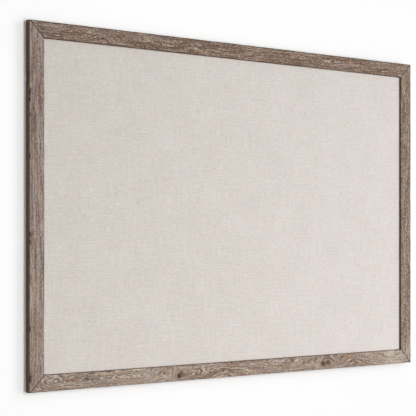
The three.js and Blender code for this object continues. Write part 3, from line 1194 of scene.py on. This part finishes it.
def make_linen():
    width = CLOTH_HIGH.x - CLOTH_LOW.x
    height = CLOTH_HIGH.z - CLOTH_LOW.z
    pressed = CLOTH_LOW.y + CLOTH_SWELL
    back = CLOTH_HIGH.y
    deselect()
    bpy.ops.mesh.primitive_grid_add(
        x_subdivisions=round(width / CLOTH_STEP),
        y_subdivisions=round(height / CLOTH_STEP),
        size=1,
        location=(0, pressed, 0),
        rotation=(math.pi / 2, 0, 0),
    )
    piece = named("linen_cloth")
    piece.scale = (width, height, 1)
    settle(piece)
    edit(piece)
    pick("edges", lambda e: e.is_boundary)
    push(y=back - pressed)
    push()
    turn_in = ((width - 2 * CLOTH_TURN_IN) / width, 1, (height - 2 * CLOTH_TURN_IN) / height)
    squeeze(turn_in, (0, 0, 0))
    pick("edges", lambda e: crosses_margin(e, back))
    bpy.ops.mesh.subdivide(number_cuts=round(CLOTH_TURN_IN / CLOTH_STEP))
    pick("edges", lambda e: on_rim(e, width, height))
    round_over(CLOTH_BEND, 3)
    pick_all()
    bpy.ops.mesh.normals_make_consistent(inside=False)
    done()
    write_values(piece, "cloth", flat_cloth(piece, width, height, pressed, back), "CORNER")
    stretch_linen(piece, width, height, back)
    apply_modifier(piece, "SOLIDIFY", thickness=CLOTH, offset=-1)
    smooth(piece, 50)
    dress(piece, LINEN)
    seat(piece, "board", "linen", "linen_cover")


def crosses_margin(edge, back):
    first, second = (v.co for v in edge.verts)
    return min(first.y, second.y) > back - EXACT and (second - first).length > CLOTH_TURN_IN / 2


def on_rim(edge, width, height):
    """An edge along the panel's front or back outline."""
    at_side = all(on(abs(v.co.x), width / 2) for v in edge.verts)
    at_end = all(on(abs(v.co.z), height / 2) for v in edge.verts)
    return (at_side or at_end) and run(edge).y < EXACT


def flat_cloth(piece, width, height, pressed, back):
    """Where each corner of each face of the wrapped cloth lies on the flat sheet, in millimetres."""
    mesh = piece.data
    point = np.zeros(len(mesh.loops), dtype=int)
    mesh.loops.foreach_get("vertex_index", point)
    x, y, z = points_of(piece)[point].T
    inset = np.minimum(width / 2 - np.abs(x), height / 2 - np.abs(z))
    behind = y > back - EXACT
    beyond = (y - pressed) + behind * 2 * inset
    centres = [face.center for face in mesh.polygons for _ in range(face.loop_total)]
    across, _, upright = np.abs(centres).T
    over_side = width / 2 - across < height / 2 - upright
    s = x + np.sign(x) * np.where(over_side, beyond, 0)
    t = z + np.sign(z) * np.where(over_side, 0, beyond)
    return np.stack([s, t, np.zeros(len(s))], 1) / MM


def stretch_linen(piece, width, height, back):
    """Swells the face through the sight opening, thickens the corner folds and frays the cut edge."""
    spots = points_of(piece)
    x, y, z = spots.T
    behind = y > back - EXACT
    face = y < back - 3 * CLOTH_BEND
    inset = np.minimum(WIDTH / 2 - FACE - np.abs(x), HEIGHT / 2 - FACE - np.abs(z))
    soft = cloudy(SWELL_SEED, x / SWELL_LONG + SWELL_START, z / SWELL_HIGH + SWELL_START) - 0.5
    swell = CLOTH_SWELL * (0.8 + 0.4 * soft) * face * ease(inset, SIGHT_MARGIN, SWELL_RISE)
    from_side = width / 2 - np.abs(x)
    from_end = height / 2 - np.abs(z)
    margin = np.minimum(from_side, from_end)
    fold = ease(np.abs(from_side - from_end), FOLD_HALF, 0) * ease(margin, FOLD_START, FOLD_FULL)
    cut_edge = behind * (margin > CLOTH_TURN_IN - EXACT)
    ragged = cloudy(FRAY_SEED, x / FRAY_WAVE + FRAY_START, z / FRAY_WAVE + FRAY_START) - 0.5
    waver = FRAY * ragged * cut_edge
    over_side = from_side < from_end
    y = y - swell + FOLD_RISE * fold * behind
    place_points(piece, np.stack([x + waver * over_side, y, z + waver * ~over_side], 1))


# The panel's other layers and the steel that holds it

POINT_WIDTH = 5.6 * MM
POINT_SHEET = 0.4 * MM
POINT_BITE = 5 * MM
POINT_REACH = 10 * MM
POINT_TIP = 2.4 * MM
POINT_TIP_SHARE = 0.12
POINT_RIB = 0.12 * MM
POINT_RIB_LOW = -8 * MM
POINT_RIB_HIGH = 0.5 * MM
POINT_RIB_HALF = POINT_WIDTH / 8
POINT_RIB_SHARES = (0.5, 1, 0.9)
POINT_EDGE = 0.05 * MM
POINT_COUNTS = {"top_rail": 5, "right_stile": 3, "bottom_rail": 5, "left_stile": 3}


def dress_panel():
    dress(frame["nodes"]["cork_core"], CORK)
    dress(frame["nodes"]["backing_board"], HARDBOARD)
    for name, node in frame["nodes"].items():
        if name.startswith("v_nail"):
            dress(node, SPRING_STEEL)


def point_pattern():
    """A framer's point at the origin with its tip up and a rib pressed along its middle."""
    half = POINT_WIDTH / 2
    sheet = POINT_SHEET / 2
    piece = add_box("point", (-half, -sheet, -POINT_REACH), (half, sheet, POINT_BITE - POINT_TIP))
    edit(piece)
    pick("faces", lambda f: f.normal.z > 0.9)
    push(z=POINT_TIP)
    squeeze((POINT_TIP_SHARE, 1, 1), (0, 0, POINT_BITE))
    for place in (-POINT_RIB_HALF, POINT_RIB_HALF):
        split_at((place, 0, 0), (1, 0, 0))
    for level in (POINT_RIB_LOW, POINT_RIB_HIGH):
        split_at((0, 0, level), (0, 0, 1))
    pick("faces", lambda f: f.normal.y > 0.9 and in_rib(middle(f)))
    push(y=POINT_RIB)
    squeeze(POINT_RIB_SHARES, (0, 0, (POINT_RIB_LOW + POINT_RIB_HIGH) / 2))
    done()
    tidy_mesh(piece)
    round_edges(piece, POINT_EDGE)
    return piece


def in_rib(spot):
    return abs(spot.x) < POINT_RIB_HALF and POINT_RIB_LOW < spot.z < POINT_RIB_HIGH


def round_edges(piece, size):
    """Rounds a finished piece's edges that turn by more than 50 degrees."""
    limit = math.radians(50)
    apply_modifier(piece, "BEVEL", width=size, segments=2, limit_method="ANGLE", angle_limit=limit)
    smooth(piece, 40)
    apply_modifier(piece, "WEIGHTED_NORMAL", keep_sharp=True)


def points_in(rail):
    side = rail.split("_")[0]
    return [f"point_{side}_{i + 1}" for i in range(POINT_COUNTS[rail])]


def make_points():
    pattern = point_pattern()
    for rail, turn in RAIL_TURNS.items():
        out = Matrix.Rotation(turn, 4, "Y")
        middle_of_point = out @ Vector((0, 0, (POINT_BITE - POINT_REACH) / 2))
        for node in points_in(rail):
            low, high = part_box(node)
            piece = copy_of(pattern, node + "_steel")
            piece.matrix_world = Matrix.Translation((low + high) / 2 - middle_of_point) @ out
            settle(piece)
            dress(piece, SPRING_STEEL)
            seat(piece, "board", "steel", node)
    bpy.data.objects.remove(pattern)


# Ring hangers and bumpers

STRAP_WIDTH = 10 * MM
STRAP_SHEET = 0.65 * MM
STRAP_PITCH = 0.75 * MM
STRAP_DROP = 20 * MM
STRAP_NECK = 0.7 * MM
STRAP_EDGE = 0.12 * MM
HOLE_CLEARANCE = 0.2 * MM
STRAP_SIDES = 64
HOLE_SIDES = 48
CURL_RADIUS = 1.6 * MM
WIRE = 1 * MM
WIRE_SIDES = 20
RING_BAR_HALF = 6.5 * MM
RING_CORNER = 2.5 * MM
RING_LEG = 1.5 * MM
RING_SPLIT = 0.5 * MM
SCREW_SIDES = 48
SCREW_HEAD = 3.5 * MM
SCREW_HEAD_ROUND = 1.3 * MM
SCREW_CORE = 1.25 * MM
SCREW_THREAD = 1.7 * MM
THREAD_PITCH = 1.25 * MM
FLANK_SHARE = 0.35
CREST_SHARE = 0.15
SCREW_TIP_SHARE = 0.12
SEAT_GAP = 0.02 * MM
RECESS_LENGTH = 3.6 * MM
RECESS_WIDTH = 0.8 * MM
RECESS_DEPTH = 1.1 * MM
RECESS_FLOOR_SHARE = 0.6
BUMPER_SIDES = 64
BUMPER_RADIUS = 6.35 * MM
BUMPER_TAPER = 0.5 * MM
BUMPER_EDGE = 0.7 * MM
BUMPER_RIM = 1.4 * MM
BUMPER_WALL = 0.25 * MM
BUMPER_GROOVE = 0.5 * MM
BUMPER_SUNK = 0.2 * MM


def make_ring(name, pivot):
    """One bent wire: out along its bar, round a corner, up a leg, over the top and back down."""
    deselect()
    bpy.ops.mesh.primitive_circle_add(
        vertices=WIRE_SIDES,
        radius=WIRE,
        fill_type="NOTHING",
        location=pivot + Vector((RING_SPLIT / 2, 0, 0)),
        rotation=(0, math.pi / 2, 0),
    )
    piece = named(name)
    settle(piece)
    edit(piece)
    pick_all()
    bar = RING_BAR_HALF - RING_SPLIT / 2
    bends = (
        ((RING_BAR_HALF, 0, RING_CORNER), 1, 8, (0, RING_LEG)),
        ((0, 0, RING_CORNER + RING_LEG), 2, 40, (0, -RING_LEG)),
        ((-RING_BAR_HALF, 0, RING_CORNER), 1, 8, (bar, 0)),
    )
    push(x=bar)
    for centre, quarters, steps, (x, z) in bends:
        angle = quarters * math.pi / 2
        bpy.ops.mesh.spin(steps=steps, angle=angle, center=pivot + Vector(centre), axis=(0, 1, 0))
        push(x=x, z=z)
    pick("edges", lambda e: e.is_boundary)
    bpy.ops.mesh.fill()
    done()
    tidy_mesh(piece)
    smooth(piece, 50)
    return piece


def make_strap(name, pivot):
    """A strip of sheet steel folded over the ring's bar, its two layers lying on the wood."""
    half = STRAP_WIDTH / 2
    foot = pivot.z - STRAP_DROP - 1.5 * half
    reach = CURL_RADIUS + STRAP_NECK
    neck = math.acos((STRAP_NECK + STRAP_PITCH - CURL_RADIUS) / reach)
    neck_centre = pivot + Vector((0, reach * math.cos(neck), -reach * math.sin(neck)))
    deselect()
    bpy.ops.mesh.primitive_plane_add(
        size=1,
        location=(pivot.x, pivot.y - CURL_RADIUS, (foot + pivot.z) / 2),
        rotation=(math.pi / 2, 0, 0),
    )
    piece = named(name)
    piece.scale = (STRAP_WIDTH, pivot.z - foot, 1)
    settle(piece)
    edit(piece)
    pick("edges", lambda e: on(middle(e).z, pivot.z))
    bpy.ops.mesh.spin(steps=24, angle=math.pi + neck, center=pivot, axis=(1, 0, 0))
    bpy.ops.mesh.spin(steps=8, angle=neck, center=neck_centre, axis=(-1, 0, 0))
    push(z=foot - neck_centre.z)
    done()
    apply_modifier(piece, "SOLIDIFY", thickness=STRAP_SHEET, offset=0)
    tidy_mesh(piece)
    screw_level = pivot.z - STRAP_DROP
    at_screw = (pivot.x, screw_level)
    outline = add_drum("strap_outline", at_screw, half, BACK - OVERRUN, OVERRUN, STRAP_SIDES)
    edit(outline)
    split_at((0, 0, screw_level), (0, 0, 1), clear_outer=True, use_fill=True)
    pick("faces", lambda f: f.normal.z > 0.9)
    push(z=STRAP_DROP + 2 * CURL_RADIUS)
    done()
    cut(piece, outline, "INTERSECT")
    hole = SCREW_THREAD + HOLE_CLEARANCE
    cut(piece, add_drum("strap_hole", at_screw, hole, BACK - OVERRUN, OVERRUN, HOLE_SIDES))
    round_edges(piece, STRAP_EDGE)
    return piece


def make_screw(name, centre, seat_depth, top, tip):
    """A pan-headed cross-recess screw: its head up to top, its thread down to tip."""
    piece = add_drum(name, (centre.x, centre.z), SCREW_HEAD, seat_depth, top, SCREW_SIDES)
    edit(piece)
    pick("edges", lambda e: on(middle(e).y, top) or all(on(v.co.y, top) for v in e.verts))
    round_over(SCREW_HEAD_ROUND, 6)
    pick("faces", lambda f: f.normal.y < -0.9)
    bpy.ops.mesh.inset(thickness=SCREW_HEAD - SCREW_CORE)
    middle_of_screw = (centre.x, 0, centre.z)
    swell = SCREW_THREAD / SCREW_CORE
    depth = seat_depth - tip
    turns = int((depth - 2 * THREAD_PITCH) / THREAD_PITCH)
    push(y=-THREAD_PITCH / 2)
    for _ in range(turns):
        for flank in (swell, 1 / swell):
            push(y=-FLANK_SHARE * THREAD_PITCH)
            squeeze((flank, 1, flank), middle_of_screw)
            push(y=-CREST_SHARE * THREAD_PITCH)
    push(y=-(depth - (turns + 0.5) * THREAD_PITCH))
    squeeze((SCREW_TIP_SHARE, 1, SCREW_TIP_SHARE), middle_of_screw)
    done()
    arms = []
    for across, up in ((RECESS_LENGTH, RECESS_WIDTH), (RECESS_WIDTH, RECESS_LENGTH)):
        low = (centre.x - across / 2, top - RECESS_DEPTH, centre.z - up / 2)
        high = (centre.x + across / 2, top + RECESS_DEPTH, centre.z + up / 2)
        arm = add_box("recess_arm", low, high)
        edit(arm)
        pick("faces", lambda f: f.normal.y < -0.9)
        squeeze((RECESS_FLOOR_SHARE, 1, RECESS_FLOOR_SHARE), middle_of_screw)
        done()
        arms.append(arm)
    cut(arms[0], arms[1], "UNION")
    cut(piece, arms[0])
    smooth(piece, 35)
    return piece


def make_bumper(name, centre, foot, top):
    end_radius = BUMPER_RADIUS - BUMPER_TAPER
    piece = add_drum(name, (centre.x, centre.z), BUMPER_RADIUS, foot, top, BUMPER_SIDES, end_radius)
    edit(piece)
    pick("edges", lambda e: all(on(v.co.y, top) for v in e.verts))
    round_over(BUMPER_EDGE, 5)
    pick("faces", lambda f: f.normal.y > 0.99 and on(middle(f).y, top))
    for land, rise in ((BUMPER_RIM, -BUMPER_SUNK), (BUMPER_GROOVE, BUMPER_SUNK)):
        bpy.ops.mesh.inset(thickness=land)
        bpy.ops.mesh.inset(thickness=BUMPER_WALL, depth=rise)
    done()
    smooth(piece, 35)
    return piece


def make_hardware():
    for joint in frame["joints"]:
        side = joint["child"].split("_")[0]
        pivot = Vector(joint["pos_m"])
        strap = make_strap(f"strap_{side}", pivot)
        dress(strap, NICKEL)
        seat(strap, "board", "plated_steel", f"hanger_strap_{side}")
        ring = make_ring(f"ring_{side}", pivot)
        dress(ring, NICKEL)
        seat(ring, joint["child"], "plated_steel", f"hanger_ring_{side}")
        low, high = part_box(f"hanger_screw_{side}")
        head_seat = pivot.y - CURL_RADIUS + STRAP_PITCH + STRAP_SHEET / 2 + SEAT_GAP
        screw = make_screw(f"screw_{side}", (low + high) / 2, head_seat, high.y, low.y)
        dress(screw, NICKEL)
        seat(screw, "board", "plated_steel", f"hanger_screw_{side}")
    for end in ("top", "bottom"):
        for side in ("left", "right"):
            node = f"bumper_{end}_{side}"
            low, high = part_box(node)
            bumper = make_bumper(node + "_rubber", (low + high) / 2, low.y, high.y)
            dress(bumper, RUBBER)
            seat(bumper, "board", "rubber", node)


# Camera, floor, backdrop and lamps

PHOTO = 416
HORIZON_ROW = 241.89
FOCAL_PIXELS = 1387.7
SENSOR = 36.0
CAMERA_TURN = -39.452
CAMERA_LEFT_HEIGHTS = 1.9901
CAMERA_OUT_HEIGHTS = 3.1675
CAMERA_DOWN_HEIGHTS = 0.0953


def set_camera():
    deselect()
    place = (
        -WIDTH / 2 - CAMERA_LEFT_HEIGHTS * HEIGHT,
        FRONT - CAMERA_OUT_HEIGHTS * HEIGHT,
        -CAMERA_DOWN_HEIGHTS * HEIGHT,
    )
    bpy.ops.object.camera_add(location=place, rotation=(math.pi / 2, 0, math.radians(CAMERA_TURN)))
    camera = bpy.context.object
    camera.data.sensor_width = SENSOR
    camera.data.lens = FOCAL_PIXELS / PHOTO * SENSOR
    camera.data.shift_y = (HORIZON_ROW - PHOTO / 2) / PHOTO
    camera.data.clip_start = 0.01
    camera.data.clip_end = 100
    bpy.context.scene.camera = camera


BACKDROP_HALF = 1.8
BACKDROP_GRADE = 0.7
BACKDROP_GAP = 0.3 * MM
FLOOR_HALF = 12.0
FLOOR_DROP = 1.5
WORLD_LEVEL = 0.245

# Each lamp's name, place, width, height and level
LAMPS = (
    ("key_lamp", (1.5, -1.8, 0.15), 1.4, 2.8, 0.385),
    ("front_lamp", (-0.05, -3.8, 0.0), 0.95, 2.4, 0.592),
    ("rear_lamp", (0.0, 3.4, 0.4), 1.6, 1.6, 0.6),
)


def seen(nodes, path):
    """1 where something is seen straight, in a mirror or through glass."""
    mirrored = nodes.larger(path["Is Glossy Ray"], path["Is Transmission Ray"])
    return nodes.larger(path["Is Camera Ray"], mirrored)


def one_sided(name, left, right, lift):
    """Studio paint, graded along X and clear from behind, so that the board's back can be seen."""
    made, n, shader = material(name, roughness=0.9, specular=0.1)
    path = n.add("LightPath").outputs
    grade = n.between(n.split(object_place(n))[0], -BACKDROP_GRADE, BACKDROP_GRADE)
    n.feed(shader["Base Color"], n.mix(grade, paint(*left), paint(*right)))
    shader["Emission Color"].default_value = (1, 1, 1, 1)
    n.feed(shader["Emission Strength"], n.times(seen(n, path), lift))
    own_nodes = made.node_tree.nodes
    painted = own_nodes["Principled BSDF"].outputs[0]
    clear = n.add("BsdfTransparent").outputs[0]
    rear = n.add("NewGeometry").outputs["Backfacing"]
    mixed = n.add("MixShader", {0: n.larger(rear, path["Is Shadow Ray"]), 1: painted, 2: clear})
    n.feed(own_nodes["Material Output"].inputs["Surface"], mixed.outputs[0])
    return made


def set_stage():
    deselect()
    place = (0, BACKDROP_GAP, 0)
    bpy.ops.mesh.primitive_plane_add(size=2 * BACKDROP_HALF, location=place, rotation=(math.pi / 2, 0, 0))
    backdrop = named("studio_backdrop")
    settle(backdrop)
    bpy.ops.mesh.primitive_plane_add(size=2 * FLOOR_HALF, location=(0, 0, -FLOOR_DROP))
    floor = named("studio_floor")
    settle(floor)
    dress(backdrop, one_sided("backdrop_paint", (253, 253, 253), (237, 237, 237), 0.1))
    dress(floor, one_sided("floor_paint", (130, 129, 128), (130, 129, 128), 0.6))


def set_world():
    world = bpy.data.worlds.new("studio")
    bpy.context.scene.world = world
    world.use_nodes = True
    n = Nodes(world.node_tree)
    sky = world.node_tree.nodes["Background"].inputs
    sky["Color"].default_value = (1, 1, 1, 1)
    eye = seen(n, n.add("LightPath").outputs)
    n.feed(sky["Strength"], n.times_plus(eye, 1.0 - WORLD_LEVEL, WORLD_LEVEL))


def set_lamps():
    """Soft lamps, each giving a face turned to it at the board's middle about its level."""
    for name, place, wide, tall, level in LAMPS:
        away = Vector(place)
        turn = away.to_track_quat("Z", "Y").to_euler()
        deselect()
        bpy.ops.object.light_add(type="AREA", location=place, rotation=turn)
        lamp = named(name)
        lamp.data.shape = "RECTANGLE"
        lamp.data.size = wide
        lamp.data.size_y = tall
        lamp.data.energy = level * math.pi * math.pi * away.length_squared


set_camera()
make_frame()
make_linen()
dress_panel()
make_points()
make_hardware()
set_stage()
set_world()
set_lamps()

bpy.context.scene.view_settings.view_transform = "Standard"
